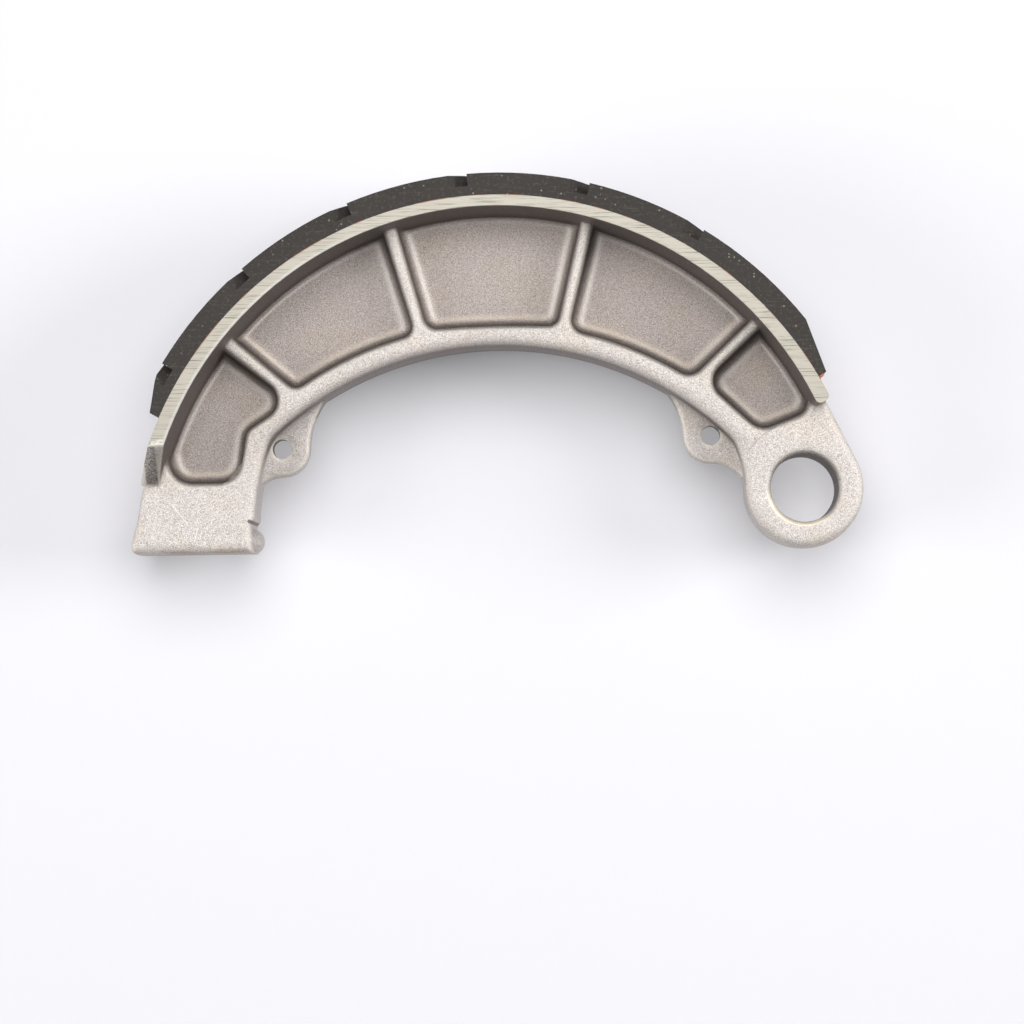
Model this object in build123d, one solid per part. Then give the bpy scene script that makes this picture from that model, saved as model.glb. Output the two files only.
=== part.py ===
"""Drum brake shoe: one die-cast aluminium body and its bonded friction lining. Millimetres.

Origin on the pivot bore's axis, halfway through the part. +Z runs along the bore, +Y towards the lining's crown,
and the cam foot is at -X. The casting is drawn as its upper half, from the parting plane up, and mirrored.
"""

import os
from math import acos, atan2, cos, degrees, hypot, radians, sin, sqrt, tan

from build123d import *

# Drum, lining and table
drum_r = 80.0
lining_t = 4.5
width = 30.0
pivot_inset = 17.1
pivot_above_drum = 15.0
table_t_crown = 2.15
table_inner_rise = 1.2
table_lap = 0.7
table_full_end = 160.4
table_end = 168.0
ramp_low_y = 2.6
ramp_step = 0.5

# Casting
plate_t = 16.0
web_t = 5.0
outer_draft = 2.0
pocket_draft = 5.0
flange_drop = 22.8
flange_inset = 12.1
flange_w = 4.6
edge_r = 1.2
rib_chamfer = 0.7
floor_chamfer = 1.3
cast_inset = 0.2
rim_end_r = 1.1
boss_d = 6.1
boss_inset = 4.1
boss_angles = (41.4, 74.5, 107.5, 140.1)
boss_below_edge = 0.4
mark_d = 5.6
mark_depth = 0.2

# Pivot eye and cam foot
eye_r = 12.3
bore_d = 14.0
bore_chamfer = 0.8
pad_y = -11.6
pad_allowance = 0.25
foot_w = 25.5
foot_out = 0.4
toe_out = 1.3
toe_r = 2.6
toe_core_t = 8.0
toe_taper = 28.0

# Spring lugs
lug_t = 4.5
lug_r = 5.7
lug_hole_d = 4.0
lug_chamfer = 0.4
lug_pivot = (-18.95, 11.35)
lug_cam_from_foot = (5.65, 9.85)
lug_sink = 0.8

# Friction lining
lining_lap = 3.9
lining_end = 155.7
pivot_chamfer_w = 8.1
pivot_tip_t = 1.8
cam_chamfer_w = 5.6
cam_tip_t = 2.1
groove_count = 6
groove_first = 47.3
groove_pitch = 18.15
groove_lead = 23.3
groove_w = 2.6
groove_depth = 2.5

table_r = drum_r - lining_t
drum = (pivot_inset - drum_r, -pivot_above_drum)
half_w = width / 2
half_plate = plate_t / 2
half_web = web_t / 2
flange_centre = (drum[0], drum[1] - flange_drop)
flange_inner_r = drum_r - flange_inset
flange_pocket_r = flange_inner_r + flange_w
open_r = table_r + 2.5
foot_left = drum[0] - table_r - foot_out
foot_right = foot_left + foot_w
lug_cam = (foot_right + lug_cam_from_foot[0], lug_cam_from_foot[1])
inner_centre = (drum[0], drum[1] + table_inner_rise)
inner_r = table_r - table_t_crown - table_inner_rise
cast_r = table_r - cast_inset
sunk_r = cast_r - 2.1


def polar(centre, r, angle):
    """The point at a radius and an angle in degrees about a centre."""
    return (centre[0] + r * cos(radians(angle)), centre[1] + r * sin(radians(angle)))


def on_circle(centre, r, x):
    """The upper point of a circle at a given x."""
    return (x, centre[1] + sqrt(r * r - (x - centre[0]) ** 2))


def crossing(p, q, centre, r):
    """Where the line from p through q leaves a circle."""
    n = hypot(q[0] - p[0], q[1] - p[1])
    dx, dy = (q[0] - p[0]) / n, (q[1] - p[1]) / n
    ox, oy = p[0] - centre[0], p[1] - centre[1]
    b = ox * dx + oy * dy
    t = -b + sqrt(b * b - ox * ox - oy * oy + r * r)
    return (p[0] + t * dx, p[1] + t * dy)


def entry(p, q, centre, r):
    """Where the line from p towards q enters a circle."""
    n = hypot(q[0] - p[0], q[1] - p[1])
    dx, dy = (q[0] - p[0]) / n, (q[1] - p[1]) / n
    ox, oy = p[0] - centre[0], p[1] - centre[1]
    b = ox * dx + oy * dy
    t = -b - sqrt(b * b - ox * ox - oy * oy + r * r)
    return (p[0] + t * dx, p[1] + t * dy)


def arc_about(centre, r, start, end):
    """Arc from one angle to another in degrees about a centre."""
    return ThreePointArc(polar(centre, r, start), polar(centre, r, (start + end) / 2), polar(centre, r, end))


def arc_between(centre, p, q, r):
    """Arc about a centre between two points on it, the short way."""
    a = degrees(atan2(p[1] - centre[1], p[0] - centre[0]))
    b = degrees(atan2(q[1] - centre[1], q[0] - centre[0]))
    return ThreePointArc(p, polar(centre, r, (a + b) / 2), q)


def corners(face, rounds):
    """Round the face's corners nearest to the given points, each as far as its two sides are long enough."""
    for point, r in rounds:
        corner = face.vertices().sort_by_distance(Vector(*point, 0))[0]
        sides = [e for e in face.edges() if e.distance_to(corner) < 1e-5]
        away = [e % 0 if (e @ 0 - Vector(*corner)).length < 1e-5 else -(e % 1) for e in sides]
        half_angle = radians(away[0].get_angle(away[1])) / 2
        face = fillet(corner, min(r, 0.55 * min(e.length for e in sides) * tan(half_angle)))
    return face


def level(edge, z):
    """Whether an edge lies flat at a height."""
    box = edge.bounding_box()
    return abs(box.min.Z - z) < 1e-3 and abs(box.max.Z - z) < 1e-3


def angle_at(point):
    """A point's angle in degrees about the drum's centre."""
    return degrees(atan2(point.Y - drum[1], point.X - drum[0]))


def radius_at(point):
    """A point's distance from the drum's axis."""
    return hypot(point.X - drum[0], point.Y - drum[1])


# Outline of eye, flange and foot at the parting plane; it steps back where the table covers it
flank_angle = degrees(atan2(-drum[1], -drum[0]) + acos((cast_r - eye_r) / hypot(*drum)))
flank_top = polar(drum, cast_r, flank_angle)
flank_low = polar((0, 0), eye_r, flank_angle)
table_start = flank_angle - table_lap
sunk_start = flank_angle + 0.4
sunk_end = 163.0
foot_top = 172.0
eye_left = (-eye_r, 0)
neck = on_circle(flange_centre, flange_inner_r, -eye_r - 2.3)
heel = on_circle(flange_centre, flange_inner_r, foot_right + 3.9)
foot_inner = (foot_right + 1.2, 2.3)
toe_nick = (foot_right + 0.5, -4.9)
toe_notch = (foot_right - 0.3, -5.9)
pad_right = (foot_right, pad_y - pad_allowance)
pad_left = (foot_left, pad_y - pad_allowance)
foot_flare = (foot_left, pad_y + 2.4)
foot_start = polar(drum, cast_r, foot_top)

outline = make_face(
    [
        Line(flank_top, flank_low),
        arc_about((0, 0), eye_r, flank_angle, -180.0),
        TangentArc(eye_left, neck, tangent=(0, 1)),
        arc_between(flange_centre, neck, heel, flange_inner_r),
        ThreePointArc(heel, foot_inner, toe_nick),
        Line(toe_nick, toe_notch),
        Line(toe_notch, pad_right),
        Line(pad_right, pad_left),
        Line(pad_left, foot_flare),
        Line(foot_flare, foot_start),
        arc_about(drum, cast_r, foot_top, sunk_end),
        Line(polar(drum, cast_r, sunk_end), polar(drum, sunk_r, sunk_end - 0.5)),
        arc_about(drum, sunk_r, sunk_end - 0.5, sunk_start + 0.5),
        Line(polar(drum, sunk_r, sunk_start + 0.5), polar(drum, cast_r, sunk_start)),
        arc_about(drum, cast_r, sunk_start, flank_angle),
    ]
)
outline = corners(
    outline,
    [
        (neck, 6.0),
        (heel, 6.0),
        (toe_nick, 0.8),
        (toe_notch, 0.8),
        (pad_left, 2.2),
        (foot_flare, 1.0),
        (foot_start, 4.0),
    ],
)
plate = extrude(outline, half_plate)
plate = draft(plate.faces().filter_by(lambda f: abs(f.normal_at().Z) < 0.5), Plane.XY, outer_draft)


def under_table(edge):
    """Whether an edge of the outline is one that the table covers."""
    middle = edge.center()
    return sunk_start < angle_at(middle) < sunk_end and radius_at(middle) > sunk_r - 1


rim = plate.faces().sort_by(Axis.Z)[-1].outer_wire().edges()
plate = fillet([e for e in rim if not under_table(e)], edge_r)

# Ribs: each side's angle about the flange's centre, where it meets the flange, and about the drum, past the table
rib_sides = {
    "1 foot": (126.7, 141.3),
    "1 crown": (125.05, 138.85),
    "2 foot": (103.2, 108.25),
    "2 crown": (101.3, 106.15),
    "3 crown": (80.0, 75.9),
    "3 eye": (78.2, 73.95),
    "4 crown": (56.55, 43.45),
    "4 eye": (54.75, 41.6),
}


def rib_top(name):
    """Where a rib's side would leave the part beyond the table."""
    return polar(drum, open_r, rib_sides[name][1])


def rib_low(name, rise=0.0):
    """Where a rib's side meets the flange's pocket edge, or a line a little above it."""
    low = polar(flange_centre, flange_pocket_r, rib_sides[name][0])
    return entry(rib_top(name), low, flange_centre, flange_pocket_r + rise)


def pocket(edges, rounds):
    """A drafted pocket from above the plate down to the web, flared at its rim and bevelled at its floor."""
    face = Pos(0, 0, half_plate - rib_chamfer) * corners(make_face(edges), rounds)
    deep = extrude(face, half_plate - rib_chamfer - half_web, dir=(0, 0, -1))
    walls = deep.faces().filter_by(lambda f: abs(f.normal_at().Z) < 0.5)
    deep = draft(walls, Plane.XY.offset(half_plate - rib_chamfer), -pocket_draft)
    deep = chamfer(deep.faces().sort_by(Axis.Z)[0].outer_wire().edges(), floor_chamfer)
    return deep + extrude(face, 2 * rib_chamfer, taper=-45)


comb = plate
for left, right, round_left, round_right in (("1 crown", "2 foot", 2.5, 2.5), ("3 eye", "4 crown", 3.0, 3.5)):
    low_left, low_right = rib_low(left), rib_low(right)
    comb -= pocket(
        [
            Line(low_left, rib_top(left)),
            arc_between(drum, rib_top(left), rib_top(right), open_r),
            Line(rib_top(right), low_right),
            arc_between(flange_centre, low_right, low_left, flange_pocket_r),
        ],
        [(low_left, round_left), (low_right, round_right)],
    )
low_left, low_right = rib_low("2 crown", 0.4), rib_low("3 crown", 0.4)
comb -= pocket(
    [
        Line(low_left, rib_top("2 crown")),
        arc_between(drum, rib_top("2 crown"), rib_top("3 crown"), open_r),
        Line(rib_top("3 crown"), low_right),
        ThreePointArc(low_right, polar(flange_centre, flange_pocket_r - 0.4, 90), low_left),
    ],
    [(low_left, 3.0), (low_right, 2.5)],
)
eye_tip = polar(flange_centre, flange_pocket_r + 1.2, 54.65)
eye_low = polar((0, 0), eye_r + 2.5, 127.2)
eye_right = polar((0, 0), eye_r + 3.0, 88.9)
eye_open = polar(drum, table_r - 1.0, flank_angle + 2.5)
comb -= pocket(
    [
        Line(eye_tip, rib_top("4 eye")),
        Line(rib_top("4 eye"), polar(drum, open_r, flank_angle + 3.1)),
        Line(polar(drum, open_r, flank_angle + 3.1), eye_open),
        Line(eye_open, eye_right),
        Line(eye_right, eye_low),
        Line(eye_low, eye_tip),
    ],
    [(eye_tip, 3.8), (eye_low, 4.0), (eye_right, 3.2)],
)
foot_tip = polar(flange_centre, flange_pocket_r - 1.3, 126.4)
foot_knee = polar(drum, table_r - 16.6, 151.2)
foot_low = polar(drum, table_r - 19.4, 161.6)
foot_side = polar(drum, table_r - 6.5, 165.15)
foot_open = polar(drum, table_r - 1.5, 159.2)
comb -= pocket(
    [
        Line(foot_tip, foot_knee),
        Line(foot_knee, foot_low),
        Line(foot_low, foot_side),
        Line(foot_side, foot_open),
        Line(foot_open, polar(drum, open_r, 157.0)),
        Line(polar(drum, open_r, 157.0), rib_top("1 foot")),
        Line(rib_top("1 foot"), foot_tip),
    ],
    [(foot_tip, 4.0), (foot_knee, 3.0), (foot_low, 5.0), (foot_side, 5.0)],
)

# Table: full width with milled edges, closed at the eye, and a cast ramp down to the foot
inner_start = crossing(drum, polar(drum, 1, table_start), inner_centre, inner_r)
inner_end = crossing(drum, polar(drum, 1, table_end), inner_centre, inner_r)
sector = make_face(
    [
        arc_about(drum, table_r, table_start, table_end),
        Line(polar(drum, table_r, table_end), inner_end),
        arc_between(inner_centre, inner_end, inner_start, inner_r),
        Line(inner_start, polar(drum, table_r, table_start)),
    ]
)
table = extrude(sector, half_w)
wall = table.faces().filter_by(GeomType.CYLINDER).sort_by(lambda f: f.area)[0]
table = draft([wall], Plane.XY.offset(half_w), pocket_draft)
pivot_end = [e for e in table.edges() if abs(angle_at(e.center()) - table_start) < 1 and not level(e, half_w)]
pivot_end = [e for e in pivot_end if not level(e, 0)]
table = fillet(pivot_end, rim_end_r)
ramp_top_y = polar(drum, table_r, table_full_end)[1]
ramp = Polyline(
    [
        (ramp_top_y, half_w),
        (ramp_low_y, half_plate + ramp_step),
        (ramp_low_y, -1),
        (ramp_low_y - drum_r, -1),
        (ramp_low_y - drum_r, width),
        (ramp_top_y, width),
        (ramp_top_y, half_w),
    ]
)
table -= extrude(Plane.YZ.offset(foot_left - 5) * make_face(ramp.edges()), foot_w + 5)
half = comb + table
casting = half + mirror(half, about=Plane.XY)

# Spring lugs on the parting plane, run a little way into the flange and the foot
flange_sunk = flange_inner_r + lug_sink
lug_top = polar(flange_centre, flange_sunk, 61.8)
lug_end = polar((0, 0), eye_r + 0.25, 171.0)
lug_root = [polar((0, 0), eye_r - 2, 165), polar(flange_centre, flange_sunk + 1.5, 51)]
lug_root.append(polar(flange_centre, flange_sunk + 1.5, 61))
cam_top = polar(flange_centre, flange_sunk, 118.8)
cam_end = (foot_right + 0.9, 2.0)
cam_root = [(foot_right - 1, 3.0), (foot_right - 1, 12.0), polar(flange_centre, flange_sunk + 1.5, 126)]
cam_root.append(polar(flange_centre, flange_sunk + 1.5, 119.5))
lug_faces = [
    make_face(
        [
            TangentArc((lug_pivot[0] - lug_r, lug_pivot[1]), lug_top, tangent=(0, 1)),
            arc_about(lug_pivot, lug_r, 180, 270),
            TangentArc((lug_pivot[0], lug_pivot[1] - lug_r), lug_end, tangent=(1, 0)),
            Polyline([lug_end, *lug_root, lug_top]),
        ]
    ),
    make_face(
        [
            TangentArc((lug_cam[0] + lug_r, lug_cam[1]), cam_top, tangent=(0, 1)),
            arc_about(lug_cam, lug_r, 0, -90),
            TangentArc((lug_cam[0], lug_cam[1] - lug_r), cam_end, tangent=(-1, 0)),
            Polyline([cam_end, *cam_root, cam_top]),
        ]
    ),
]
for face in lug_faces:
    lug = Pos(0, 0, -lug_t / 2) * extrude(face, lug_t)
    rims = [e for e in lug.edges() if level(e, lug_t / 2) or level(e, -lug_t / 2)]
    casting += chamfer([e for e in rims if e.geom_type == GeomType.CIRCLE], lug_chamfer)
for centre in (lug_pivot, lug_cam):
    casting -= Pos(*centre, 0) * Cylinder(lug_hole_d / 2, 2 * lug_t)

# Pivot bore
casting -= Cylinder(bore_d / 2, width)
bore_rims = [e for e in casting.edges() if e.geom_type == GeomType.CIRCLE and abs(e.radius - bore_d / 2) < 1e-3]
bore_rims = [e for e in bore_rims if hypot(e.arc_center.X, e.arc_center.Y) < 1e-3]
casting = chamfer(bore_rims, bore_chamfer)

# Toe of the foot, swollen halfway through the width and tapering towards both faces
toe_face = Pos(foot_right + toe_out - toe_r, pad_y - 0.1 + toe_r) * Circle(toe_r)
toe = extrude(toe_face, toe_core_t / 2)
toe += extrude(Pos(0, 0, toe_core_t / 2) * toe_face, half_plate - toe_core_t / 2 - 0.2, taper=toe_taper)
casting += toe + mirror(toe, about=Plane.XY)

# Cam pad, milled flat
casting -= Pos((foot_left + foot_right) / 2, pad_y - 5, 0) * Box(foot_w + 10, 10, width)

# Ejector bosses and round marks on the back
boss_h = half_w - boss_below_edge - half_web + 1
for angle in boss_angles:
    spot = polar(drum, table_r - boss_inset, angle)
    casting += Pos(*spot, -half_w + boss_below_edge + boss_h / 2) * Cylinder(boss_d / 2, boss_h)
for spot in ((-10.2, 7.8), (4.4, 10.8), (foot_left + 12.7, pad_y + 8.4)):
    casting -= Pos(*spot, -half_plate) * Cylinder(mark_d / 2, 2 * mark_depth)

# Friction lining with its run-in chamfers and slanted grooves
lining_start = table_start + lining_lap
pivot_tip = polar(drum, table_r + pivot_tip_t, lining_start)
cam_tip = polar(drum, table_r + cam_tip_t, lining_end)
pivot_chamfer = lining_start + pivot_chamfer_w
cam_chamfer = lining_end - cam_chamfer_w
lining = make_face(
    [
        arc_about(drum, table_r, lining_start, lining_end),
        Line(polar(drum, table_r, lining_end), cam_tip),
        Line(cam_tip, polar(drum, drum_r, cam_chamfer)),
        arc_about(drum, drum_r, cam_chamfer, pivot_chamfer),
        Line(polar(drum, drum_r, pivot_chamfer), pivot_tip),
        Line(pivot_tip, polar(drum, table_r, lining_start)),
    ]
)
lining = Pos(0, 0, -half_w) * extrude(lining, width)
over = 2.0
path = Helix(width * 360 / groove_lead, width + 2 * over, drum_r - groove_depth, center=(0, 0, -half_w - over))
section = Pos(groove_depth, 0) * Rectangle(2 * groove_depth, groove_w)
groove = sweep(Plane(origin=path @ 0, x_dir=(1, 0, 0), z_dir=path % 0) * section, path, is_frenet=True)
groove = Rot(0, 0, -groove_lead * (half_w + over) / width) * groove
for k in range(groove_count):
    lining -= Pos(*drum, 0) * Rot(0, 0, groove_first + k * groove_pitch) * groove

os.makedirs("parts", exist_ok=True)
export_step(casting, "parts/shoe_casting.step")
export_step(lining, "parts/friction_lining.step")
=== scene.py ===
"""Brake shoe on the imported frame: a blasted aluminium casting with milled edges and a speckled friction lining."""

import math
import random

import bmesh
import bpy
from mathutils import Matrix, Vector


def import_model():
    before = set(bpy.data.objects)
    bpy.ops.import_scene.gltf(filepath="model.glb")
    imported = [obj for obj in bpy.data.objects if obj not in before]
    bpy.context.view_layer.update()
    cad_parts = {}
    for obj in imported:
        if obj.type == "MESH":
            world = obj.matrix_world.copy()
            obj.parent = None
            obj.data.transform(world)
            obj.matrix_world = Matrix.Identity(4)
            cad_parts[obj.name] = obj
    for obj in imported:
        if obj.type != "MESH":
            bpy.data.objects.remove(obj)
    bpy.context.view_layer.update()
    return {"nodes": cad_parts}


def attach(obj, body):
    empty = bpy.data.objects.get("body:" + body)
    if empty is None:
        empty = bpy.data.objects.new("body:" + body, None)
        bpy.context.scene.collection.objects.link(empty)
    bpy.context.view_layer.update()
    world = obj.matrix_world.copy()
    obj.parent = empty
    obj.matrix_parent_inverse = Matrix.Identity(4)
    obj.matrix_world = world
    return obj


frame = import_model()

# The part's own measures, in metres and degrees, from the pivot bore's axis
MM = 0.001
PIVOT = (0.0, 0.0)
DRUM = (-0.0629, -0.015)
FLANGE = (-0.0629, -0.0378)
TABLE_R = 0.0755
HALF_W = 0.015
LINING_START = 29.6386
SPRING_HOLES = ((-0.01895, 0.01135), (-0.10765, 0.00985))

# Values between which a mask goes from 0 to 1: three heights from the middle plane, a place along Y, and the Z part
# of the normal of a face that isn't upright
SIDE_EDGE = (0.01490, 0.01497)
PLATE_FACE = (0.0070, 0.0074)
ABOVE_LUG = (0.0026, 0.0034)
CROWN_SIDE = (0.004, 0.012)
NOT_UPRIGHT = (0.15, 0.35)

# Turn of the lines that a saw or a mill left, in radians
SAW_TURN = 0.03

# Stage
MIDDLE_Y = 0.02
AIM = (-0.06, 0.02, 0.0)
FRAME_PX = 1024.0
FOCAL_PX = 3608.9
SENSOR_MM = 36.0


def linear(r, g, b):
    """A display colour, 0 to 255, as a linear colour."""
    out = []
    for v in (r, g, b):
        v /= 255.0
        out.append(v / 12.92 if v <= 0.04045 else ((v + 0.055) / 1.055) ** 2.4)
    return (*out, 1.0)


class Nodes:
    """A material and short ways to add shader nodes to it."""

    def __init__(self, name, edge=0.0):
        self.mat = bpy.data.materials.new(name)
        self.mat.use_nodes = True
        self.tree = self.mat.node_tree
        self.bsdf = self.tree.nodes["Principled BSDF"]
        self.coord = self.new("ShaderNodeTexCoord").outputs["Object"]
        self.normal = self.new("ShaderNodeNewGeometry").outputs["Normal"]
        self.x, self.y, self.z = self.split(self.coord)
        self.rounded = self.bevel(edge, 6) if edge else self.normal
        self.nx, self.ny, self.nz = self.split(self.rounded)

    def new(self, kind):
        return self.tree.nodes.new(kind)

    def link(self, a, socket):
        """Set a socket to a plain value, or feed it from another socket."""
        if isinstance(a, (int, float, tuple)):
            socket.default_value = a
        else:
            self.tree.links.new(a, socket)

    def set(self, name, value):
        self.link(value, self.bsdf.inputs[name])

    def split(self, vector):
        n = self.new("ShaderNodeSeparateXYZ")
        self.link(vector, n.inputs[0])
        return n.outputs

    # Numbers and masks
    def math(self, op, a, b=0.0, c=None, clamp=False):
        n = self.new("ShaderNodeMath")
        n.operation = op
        n.use_clamp = clamp
        self.link(a, n.inputs[0])
        self.link(b, n.inputs[1])
        if c is not None:
            self.link(c, n.inputs[2])
        return n.outputs[0]

    def size(self, value):
        """A number without its sign."""
        return self.math("ABSOLUTE", value)

    def mul(self, *values):
        out = values[0]
        for v in values[1:]:
            out = self.math("MULTIPLY", out, v)
        return out

    def join(self, *masks):
        """The largest of some masks."""
        out = masks[0]
        for m in masks[1:]:
            out = self.math("MAXIMUM", out, m)
        return out

    def step(self, value, low, high):
        """0 below low, 1 above high, smooth between; low may be above high for the reverse."""
        n = self.new("ShaderNodeMapRange")
        n.interpolation_type = "SMOOTHSTEP"
        self.link(value, n.inputs[0])
        n.inputs[1].default_value = min(low, high)
        n.inputs[2].default_value = max(low, high)
        n.inputs[3].default_value = 0.0 if low < high else 1.0
        n.inputs[4].default_value = 1.0 if low < high else 0.0
        return n.outputs[0]

    def inside(self, value, low, high, soft):
        """1 between low and high, with soft edges."""
        rise = self.step(value, low - soft, low + soft)
        fall = self.step(value, high + soft, high - soft)
        return self.mul(rise, fall)

    # Places in the plan
    def length(self, dx, dy):
        return self.math("SQRT", self.math("ADD", self.mul(dx, dx), self.mul(dy, dy)))

    def radius(self, cx, cy):
        """Distance in the plan from a point."""
        return self.length(self.math("SUBTRACT", self.x, cx), self.math("SUBTRACT", self.y, cy))

    def angle(self, cx, cy):
        """Angle in the plan about a point, in radians."""
        dy = self.math("SUBTRACT", self.y, cy)
        return self.math("ARCTAN2", dy, self.math("SUBTRACT", self.x, cx))

    def spot(self, x, y, r, soft):
        """1 in a round spot in the plan."""
        return self.step(self.radius(x, y), r + soft, r)

    def stroke(self, a, b, half, soft):
        """1 along a straight line in the plan from a to b; half is half the line's width."""
        run = (b[0] - a[0], b[1] - a[1])
        size = run[0] ** 2 + run[1] ** 2
        dx = self.math("SUBTRACT", self.x, a[0])
        dy = self.math("SUBTRACT", self.y, a[1])
        across = self.mul(dy, run[1] / size)
        along = self.math("MULTIPLY_ADD", dx, run[0] / size, across, clamp=True)
        ex = self.math("MULTIPLY_ADD", along, -run[0], dx)
        ey = self.math("MULTIPLY_ADD", along, -run[1], dy)
        return self.step(self.length(ex, ey), half + soft, half)

    # Edges, textures and colour
    def edges(self, reach, samples):
        """1 on outer edges, 0 elsewhere."""
        n = self.new("ShaderNodeAmbientOcclusion")
        n.inside = True
        n.samples = samples
        n.inputs["Distance"].default_value = reach
        return self.step(n.outputs["AO"], 0.92, 0.60)

    def bevel(self, radius, samples):
        """The normal as it would be if edges had this radius."""
        n = self.new("ShaderNodeBevel")
        n.samples = samples
        n.inputs["Radius"].default_value = radius
        return n.outputs[0]

    def noise(self, scale, detail=2.0, rough=0.5, vector=None):
        n = self.new("ShaderNodeTexNoise")
        self.link(vector or self.coord, n.inputs["Vector"])
        n.inputs["Scale"].default_value = scale
        n.inputs["Detail"].default_value = detail
        n.inputs["Roughness"].default_value = rough
        return n.outputs[0]

    def streaks(self, along, across, detail, rough):
        """Noise drawn out into the lines that a saw or a mill leaves."""
        n = self.new("ShaderNodeMapping")
        self.link(self.coord, n.inputs[0])
        n.inputs["Scale"].default_value = (along, across, 1.0)
        n.inputs["Rotation"].default_value = (0, 0, SAW_TURN)
        return self.noise(1.0, detail, rough, n.outputs[0])

    def specks(self, scale, outer, inner, channel, chosen):
        """Small round specks in a few cells, picked by one channel of each cell's colour."""
        cells = self.new("ShaderNodeTexVoronoi")
        self.link(self.coord, cells.inputs["Vector"])
        cells.inputs["Scale"].default_value = scale
        pick = self.new("ShaderNodeSeparateColor")
        self.link(cells.outputs["Color"], pick.inputs[0])
        dot = self.step(cells.outputs["Distance"], outer, inner)
        return self.mul(dot, self.step(pick.outputs[channel], *chosen))

    def mix(self, factor, a, b, mode="MIX"):
        n = self.new("ShaderNodeMix")
        n.data_type = "RGBA"
        n.blend_type = mode
        self.link(factor, n.inputs[0])
        self.link(a, n.inputs[6])
        self.link(b, n.inputs[7])
        return n.outputs[2]

    def over(self, base, colour, *factors):
        """A display colour laid over a base, as far as the product of the factors says."""
        return self.mix(self.mul(*factors), base, linear(*colour))

    def darken(self, base, colour, mask):
        """A base multiplied by a linear colour where the mask is 1."""
        return self.mix(mask, base, (*colour, 1.0), "MULTIPLY")

    def blend(self, factor, a, b):
        """A number between a and b."""
        n = self.new("ShaderNodeMix")
        self.link(factor, n.inputs[0])
        self.link(a, n.inputs[2])
        self.link(b, n.inputs[3])
        return n.outputs[0]

    def bump(self, height, strength, distance, normal=None):
        n = self.new("ShaderNodeBump")
        n.inputs["Strength"].default_value = strength
        n.inputs["Distance"].default_value = distance
        self.link(height, n.inputs["Height"])
        if normal is not None:
            self.link(normal, n.inputs["Normal"])
        return n.outputs[0]


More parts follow.
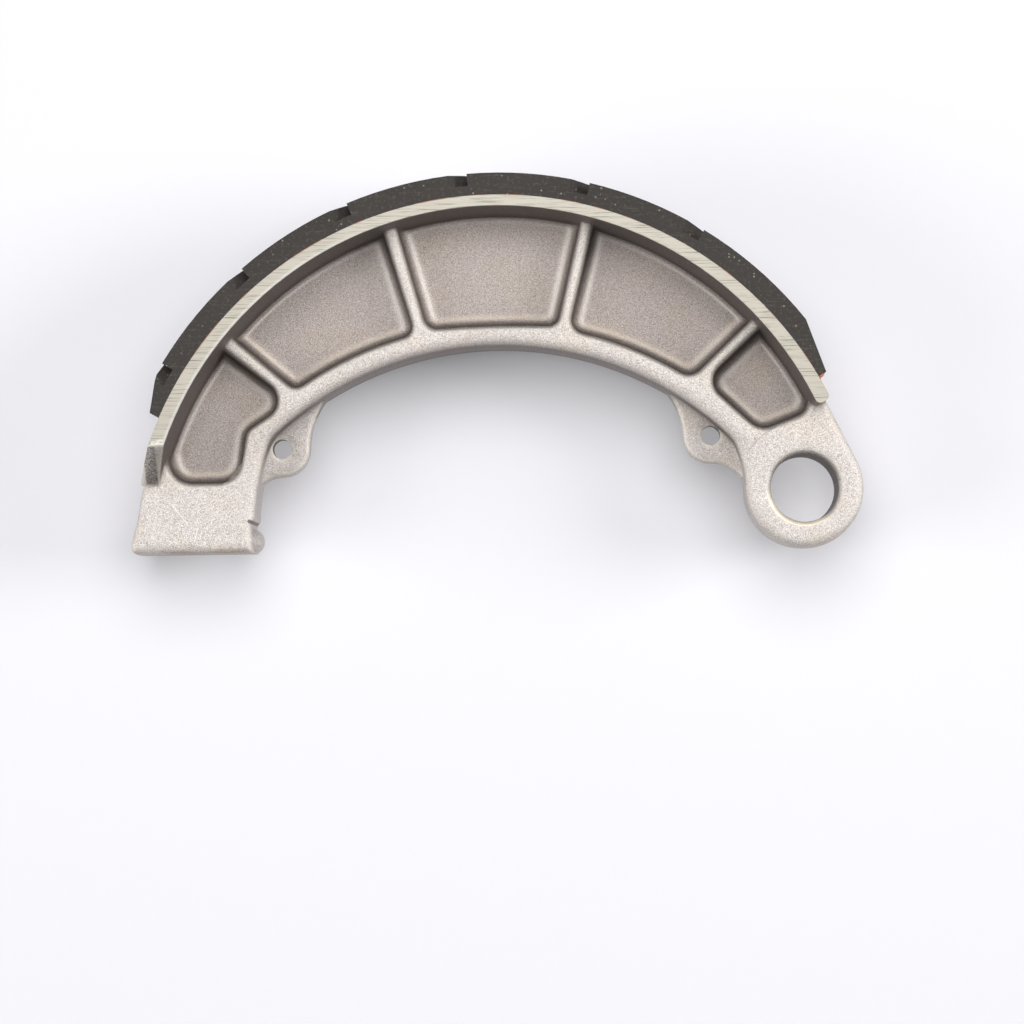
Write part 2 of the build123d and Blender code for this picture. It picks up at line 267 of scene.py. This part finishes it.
def casting_material():
    m = Nodes("blasted_casting", edge=0.0024)
    flat_z = m.split(m.normal)[2]
    facing = m.size(flat_z)
    height = m.size(m.z)
    up = m.size(m.nz)
    radius = m.radius(*DRUM)
    arch = m.radius(*FLANGE)

    # Where each kind of surface lies
    front = m.step(m.z, *PLATE_FACE)
    back = m.step(m.z, -PLATE_FACE[0], -PLATE_FACE[1])
    milled = m.mul(m.step(height, *SIDE_EDGE), m.step(facing, 0.9, 0.97))
    cast = m.math("SUBTRACT", 1.0, milled)
    crown_side = m.step(m.y, *CROWN_SIDE)
    outside_arch = m.step(arch, 0.0692, 0.0697)
    inside_arch = m.step(arch, 0.0697, 0.0692)
    pocket = m.mul(outside_arch, m.step(m.y, 0.0008, 0.0018), m.step(radius, 0.0750, 0.0740))
    holes = (m.spot(*hole, 0.0021, 0.0002) for hole in SPRING_HOLES)
    bore = m.join(m.spot(*PIVOT, 0.0072, 0.0003), *holes)
    under = m.mul(m.inside(arch, 0.0660, 0.0696, 0.0003), crown_side, 0.8)
    # Mask for painted shade on pocket walls, bore walls and under the flange, by the rounded normal's tilt
    tilt = m.blend(pocket, m.step(up, 0.80, 0.25), m.step(up, 0.93, 0.50))
    wall = m.mul(tilt, m.join(pocket, bore, under))
    lip = m.mul(m.edges(0.0011, 4), cast)

    # Blasted skin
    grain = m.noise(4300.0, 3.0, 0.7)
    pebble = m.noise(1300.0)
    cloud = m.noise(38.0, 3.0, 0.55)
    patch = m.noise(110.0)
    base = m.mix(cloud, linear(168, 162, 158), linear(182, 176, 171))
    base = m.over(base, (178, 169, 158), m.step(patch, 0.45, 0.7), 0.5)
    base = m.over(base, (222, 217, 214), m.step(grain, 0.52, 0.66), 0.68)
    base = m.over(base, (114, 107, 104), m.step(grain, 0.48, 0.35), 0.72)

    # Painted shade: darker pocket floors, lower flange side and walls; darker lugs; painted highlight on the bevels
    # beside the ribs and a painted warm reflection on those facing the crown; pale outer edges, partly edge wear and
    # partly painted highlight
    deep = m.mul(m.step(height, 0.0074, 0.0040), pocket)
    # Painted shade: the pocket floors are darkened
    base = m.darken(base, (0.70, 0.665, 0.655), deep)
    lug = m.mul(m.step(height, *ABOVE_LUG[::-1]), inside_arch, m.step(facing, 0.5, 0.9))
    shade = m.mul(m.step(arch, 0.0712, 0.0686), crown_side, m.step(height, *ABOVE_LUG))
    # Painted shade on the flange's lower side; the lugs are darkened with it
    base = m.darken(base, (0.86, 0.85, 0.85), m.join(lug, shade))
    # Painted highlight: pale bands on the floor bevels beside the ribs
    highlight_band = m.mul(deep, m.inside(up, 0.94, 0.985, 0.015))
    beside = m.step(m.size(m.nx), 0.08, 0.20)
    base = m.over(base, (220, 213, 207), highlight_band, m.blend(beside, 0.45, 0.9))
    # Painted reflection: a cream tint on the bevels facing the crown
    base = m.over(base, (198, 182, 158), highlight_band, m.step(m.ny, 0.10, 0.22), 0.55)
    # Painted shade on the walls
    base = m.darken(base, (0.38, 0.355, 0.35), wall)
    # Pale outer edges: edge wear and painted highlight
    base = m.over(base, (226, 219, 208), lip, m.blend(pebble, 0.2, 0.8))

    # Milled side edges of the table, with a few rust specks
    lines = m.streaks(110.0, 3600.0, 3.0, 0.65)
    broad = m.streaks(60.0, 1500.0, 2.0, 0.5)
    bright = m.mix(m.step(lines, 0.30, 0.50), linear(108, 105, 96), linear(154, 150, 140))
    bright = m.over(bright, (100, 97, 88), m.step(broad, 0.60, 0.72), 0.18)
    inner = m.step(m.radius(DRUM[0], DRUM[1] + 0.0012), 0.0728, 0.0724)
    bright = m.over(bright, (184, 184, 186), inner, m.step(m.angle(*DRUM), 1.8, 2.3), 0.35)
    base = m.mix(milled, base, bright)
    rust = m.specks(230.0, 0.13, 0.06, 0, (0.93, 0.94))
    base = m.over(base, (150, 84, 62), rust, milled, 0.7)

    # Dotted marker patch on the ramp of the front
    dots = m.noise(4600.0, 2.0, 0.6)
    patch_x = m.inside(m.x, -0.1352, -0.1327, 0.0002)
    patch_y = m.inside(m.y, 0.0027, 0.0101, 0.0002)
    ramp = m.mul(m.step(m.z, 0.0075, 0.008), m.step(flat_z, *NOT_UPRIGHT))
    base = m.over(base, (50, 48, 50), patch_x, patch_y, ramp, m.step(dots, 0.32, 0.60), 0.8)

    # Scratches on the foot
    shine = m.join(
        m.stroke((-0.1300, -0.0016), (-0.1268, -0.0058), 0.00004, 0.00012),
        m.stroke((-0.1248, -0.0066), (-0.1255, -0.0092), 0.00004, 0.00012),
        m.stroke((-0.1240, -0.0070), (-0.1243, -0.0088), 0.00003, 0.00010),
    )
    base = m.over(base, (240, 236, 232), shine, front, 0.3)

    # Worn burr where the milled edge ends at the foot
    burr = m.stroke((-0.1349, 0.0105), (-0.1313, 0.0110), 0.00025, 0.0004)
    high = m.step(m.z, 0.012, 0.0135)
    base = m.over(base, (228, 224, 216), burr, high, m.step(pebble, 0.40, 0.6), 0.4)

    # Parting line round the eye, and a painted highlight on the lower rim of its bore
    from_pivot = m.radius(*PIVOT)
    about_pivot = m.angle(*PIVOT)
    seam = m.mul(m.inside(from_pivot, 0.01368, 0.01384, 0.0001), m.inside(about_pivot, 2.02, 2.56, 0.04))
    base = m.over(base, (120, 104, 92), seam, front, 0.55)
    # Painted highlight on the lower rim of the bore
    bore_rim_highlight = m.mul(m.inside(from_pivot, 0.0070, 0.0079, 0.0001), m.inside(about_pivot, -2.9, -1.0, 0.3))
    base = m.over(base, (232, 222, 200), bore_rim_highlight, m.join(front, back), 0.7)

    # Painted shadow in the nick beside the foot, and browner patches along the foot's lower edge
    # Painted shadow: a dark stroke in the nick
    nick_shadow = m.stroke((-0.1142, -0.0052), (-0.1121, -0.0061), 0.00022, 0.0003)
    base = m.over(base, (58, 48, 46), nick_shadow, 0.75)
    # Browner patches along the foot's lower edge
    lower_edge_brown = m.mul(m.step(m.y, -0.0106, -0.0116), m.step(m.x, -0.108, -0.112))
    base = m.over(base, (138, 116, 96), lower_edge_brown, m.step(patch, 0.35, 0.6), 0.45)

    # Back of the shoe: ink dot, smooth pad on the rim, dark lines and pits
    wobble = m.math("MULTIPLY_ADD", m.noise(500.0, 1.0), 0.0008, -0.0004)
    ink = m.step(m.math("ADD", m.radius(-0.1259, -0.0031), wobble), 0.00195, 0.00178)
    base = m.over(base, (48, 40, 46), ink, m.step(m.z, -0.007, -0.0075), 0.93)
    smooth = m.mul(m.inside(m.x, -0.1366, -0.1325, 0.0003), m.inside(m.y, 0.0030, 0.0100, 0.0003), back)
    smooth = m.mul(smooth, m.step(facing, *NOT_UPRIGHT))
    base = m.over(base, (206, 199, 184), smooth, 0.6)
    marks = m.join(
        m.stroke((-0.1170, 0.0035), (-0.1145, 0.0030), 0.00006, 0.00014),
        m.stroke((-0.1360, -0.0095), (-0.1150, -0.0093), 0.00003, 0.00018),
        m.spot(-0.0123, 0.0040, 0.00022, 0.0002),
        m.spot(-0.0120, 0.0020, 0.00016, 0.0002),
        m.spot(0.0057, 0.0185, 0.00025, 0.0002),
        m.spot(-0.1347, 0.0126, 0.00028, 0.0002),
    )
    base = m.over(base, (74, 62, 58), marks, back, 0.6)

    # Adhesive where the table meets the lining
    glue = m.mul(m.step(radius, 0.07532, 0.07546), milled, m.step(m.noise(240.0), 0.50, 0.62))
    base = m.over(base, (146, 98, 66), glue, 0.55)

    m.set("Base Color", base)
    m.set("Metallic", 0.85)
    m.set("Roughness", m.blend(milled, m.blend(grain, 0.46, 0.60), 0.55))
    edge = m.mix(lip, m.rounded, m.bevel(0.0007, 3))
    edge = m.mix(milled, edge, m.normal)
    soft = m.bump(m.mul(pebble, cast), 0.22, 0.00015, edge)
    rough = m.math("SUBTRACT", 1.0, m.mul(smooth, 0.8))
    fine = m.bump(m.mul(grain, cast, rough), 0.75, 0.00016, soft)
    m.set("Normal", m.bump(m.mul(lines, milled), 0.3, 0.00005, fine))
    return m.mat


def lining_material():
    m = Nodes("moulded_lining")
    fine = m.noise(1400.0, 3.0, 0.65)
    cloud = m.noise(60.0, 3.0, 0.6)
    base = m.mix(cloud, linear(44, 41, 39), linear(55, 51, 48))
    base = m.over(base, (92, 87, 81), m.step(fine, 0.5, 0.75), 0.45)

    # Streaks on the sawn sides
    side = m.step(m.size(m.z), *SIDE_EDGE)
    sawn = m.streaks(160.0, 2200.0, 3.0, 0.6)
    base = m.over(base, (112, 106, 99), side, m.step(sawn, 0.55, 0.75), 0.2)
    base = m.over(base, (34, 32, 31), side, m.step(sawn, 0.42, 0.28), 0.2)

    # Pale flecks and a few gold ones
    base = m.over(base, (160, 157, 148), m.specks(1000.0, 0.24, 0.10, 0, (0.91, 0.92)), 0.5)
    base = m.over(base, (146, 126, 94), m.specks(520.0, 0.17, 0.08, 1, (0.9, 0.92)), 0.5)

    # Adhesive where the lining meets the table
    glue = m.mul(m.step(m.radius(*DRUM), 0.07566, 0.07556), m.step(m.noise(240.0), 0.48, 0.60))
    base = m.over(base, (132, 84, 56), glue, 0.5)

    m.set("Base Color", base)
    m.set("Metallic", 0.0)
    m.set("Specular IOR Level", 0.25)
    m.set("Roughness", m.blend(fine, 0.72, 0.9))
    soft = m.bump(m.noise(300.0, 3.0, 0.6), 0.4, 0.00015)
    m.set("Normal", m.bump(fine, 0.5, 0.00012, soft))
    return m.mat


def paint(piece, material):
    """Put one material on every slot of a piece."""
    if not piece.data.materials:
        piece.data.materials.append(material)
    for i in range(len(piece.data.materials)):
        piece.data.materials[i] = material


def smooth_piece(name, bm):
    """A smooth-shaded object from a finished bmesh."""
    mesh = bpy.data.meshes.new(name)
    bm.to_mesh(mesh)
    bm.free()
    for face in mesh.polygons:
        face.use_smooth = True
    piece = bpy.data.objects.new(name, mesh)
    bpy.context.scene.collection.objects.link(piece)
    return piece


def bead():
    """Adhesive pressed out along the lining's pivot end, where it meets the table."""
    random.seed(5)
    rows, rows_per_knot, steps = 56, 4, 8
    share_of_width, fullness = 0.992, 0.8
    gap, lap = 0.00002, 0.0004
    start = math.radians(LINING_START)
    low, high = [], []
    for _ in range(rows // rows_per_knot + 2):
        low.append(random.uniform(0.25, 0.60))
        high.append(random.uniform(0.70, 1.45))

    bm = bmesh.new()

    def point(r, turn, z):
        return bm.verts.new((DRUM[0] + r * math.cos(turn), DRUM[1] + r * math.sin(turn), z))

    rings = []
    for i in range(rows + 1):
        z = HALF_W * share_of_width * (1 - 2 * (i / rows))
        knot = i // rows_per_knot
        f = i / rows_per_knot - knot
        f = f * f * (3 - 2 * f)
        out = (low[knot] * (1 - f) + low[knot + 1] * f) * MM
        tall = (high[knot] * (1 - f) + high[knot + 1] * f) * MM
        ring = []
        for step in range(steps + 1):
            a = math.pi / 2 * step / steps
            r = TABLE_R + gap + tall * math.sin(a) ** fullness
            turn = start - (out * math.cos(a) ** fullness + gap) / TABLE_R
            ring.append(point(r, start + lap if step == steps else turn, z))
        ring.append(point(TABLE_R + gap, start + lap, z))
        rings.append(ring)
    around = len(rings[0])
    for one, two in zip(rings, rings[1:]):
        for k in range(around):
            n = (k + 1) % around
            bm.faces.new((one[k], one[n], two[n], two[k]))
    bm.faces.new(rings[0][::-1])
    bm.faces.new(rings[-1])
    bmesh.ops.recalc_face_normals(bm, faces=bm.faces)

    piece = smooth_piece("adhesive_bead", bm)
    m = Nodes("cured_adhesive")
    tone = m.noise(700.0, 3.0, 0.6)
    m.set("Base Color", m.mix(m.step(tone, 0.35, 0.65), linear(132, 72, 50), linear(172, 106, 78)))
    m.set("Roughness", m.blend(tone, 0.35, 0.6))
    m.set("Normal", m.bump(tone, 0.5, 0.0001))
    piece.data.materials.append(m.mat)
    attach(piece, "root")


def floor():
    """A pale floor that is level under the object and far out rises all round as a backdrop."""
    flat, rise, wall, sides, arcs = 1.7, 1.4, 1.0, 72, 12
    profile = [(0.25, 0.0), (0.6, 0.0), (1.1, 0.0), (flat, 0.0)]
    for i in range(1, arcs + 1):
        a = math.radians(90.0 / arcs * i)
        profile.append((flat + rise * math.sin(a), rise * (1 - math.cos(a))))
    profile.append((flat + rise, rise + wall))

    bm = bmesh.new()
    middle = bm.verts.new((DRUM[0], MIDDLE_Y, -HALF_W))
    rings = []
    for r, z in profile:
        ring = []
        for k in range(sides):
            a = 2 * math.pi * k / sides
            place = (DRUM[0] + r * math.cos(a), MIDDLE_Y + r * math.sin(a), z - HALF_W)
            ring.append(bm.verts.new(place))
        rings.append(ring)
    for k in range(sides):
        n = (k + 1) % sides
        bm.faces.new((middle, rings[0][k], rings[0][n]))
        for one, two in zip(rings, rings[1:]):
            bm.faces.new((one[k], two[k], two[n], one[n]))

    piece = smooth_piece("floor", bm)
    m = Nodes("floor")
    far = m.step(m.radius(DRUM[0], MIDDLE_Y), 0.30, 1.0)
    m.set("Base Color", m.mix(far, linear(208, 207, 212), linear(70, 70, 72)))
    m.set("Roughness", 0.9)
    paper = m.new("ShaderNodeEmission")
    paper.inputs["Color"].default_value = linear(250, 250, 251)
    ray = m.new("ShaderNodeLightPath").outputs
    seen = m.join(ray["Is Camera Ray"], ray["Is Glossy Ray"], ray["Is Transmission Ray"])
    share = m.blend(far, 0.16, 1.0)
    both = m.new("ShaderNodeMixShader")
    m.link(m.mul(seen, share), both.inputs[0])
    m.link(m.bsdf.outputs[0], both.inputs[1])
    m.link(paper.outputs[0], both.inputs[2])
    m.link(both.outputs[0], m.tree.nodes["Material Output"].inputs["Surface"])
    piece.data.materials.append(m.mat)


def lamp(name, place, size, power):
    """A round soft lamp that points at the middle of the object."""
    data = bpy.data.lights.new(name, "AREA")
    data.shape = "DISK"
    data.size = size
    data.energy = power
    piece = bpy.data.objects.new(name, data)
    piece.location = place
    piece.rotation_euler = (Vector(AIM) - Vector(place)).to_track_quat("-Z", "Y").to_euler()
    bpy.context.scene.collection.objects.link(piece)


def world():
    w = bpy.data.worlds.new("studio")
    w.use_nodes = True
    bpy.context.scene.world = w
    background = w.node_tree.nodes["Background"]
    background.inputs["Color"].default_value = (1.0, 1.0, 1.0, 1.0)
    background.inputs["Strength"].default_value = 0.10


def camera():
    """The camera as it was fitted to the grid in the photograph; places in millimetres."""
    data = bpy.data.cameras.new("camera")
    data.sensor_width = SENSOR_MM
    data.lens = FOCAL_PX / FRAME_PX * SENSOR_MM
    data.clip_start = 0.05
    data.clip_end = 10.0
    piece = bpy.data.objects.new("camera", data)
    place = Vector((-46.392, -33.604, 747.958)) * MM
    aim = Vector((-60.56, -3.199, -15.0)) * MM
    roll = math.radians(-0.867)
    back = (place - aim).normalized()
    up = back.cross(Vector((math.cos(roll), math.sin(roll), 0.0))).normalized()
    right = up.cross(back)
    turn = Matrix((right, up, back)).transposed().to_4x4()
    piece.matrix_world = Matrix.Translation(place) @ turn
    bpy.context.scene.collection.objects.link(piece)
    bpy.context.scene.camera = piece


paint(frame["nodes"]["shoe_casting"], casting_material())
paint(frame["nodes"]["friction_lining"], lining_material())
bead()
floor()
lamp("key", (-0.03, 0.32, 0.93), 1.0, 11.7)
lamp("side", (1.30, 0.15, 0.70), 0.7, 18.0)
lamp("fill", (-1.30, -0.20, 0.60), 0.8, 12.0)
world()
camera()
bpy.context.scene.view_settings.view_transform = "Standard"
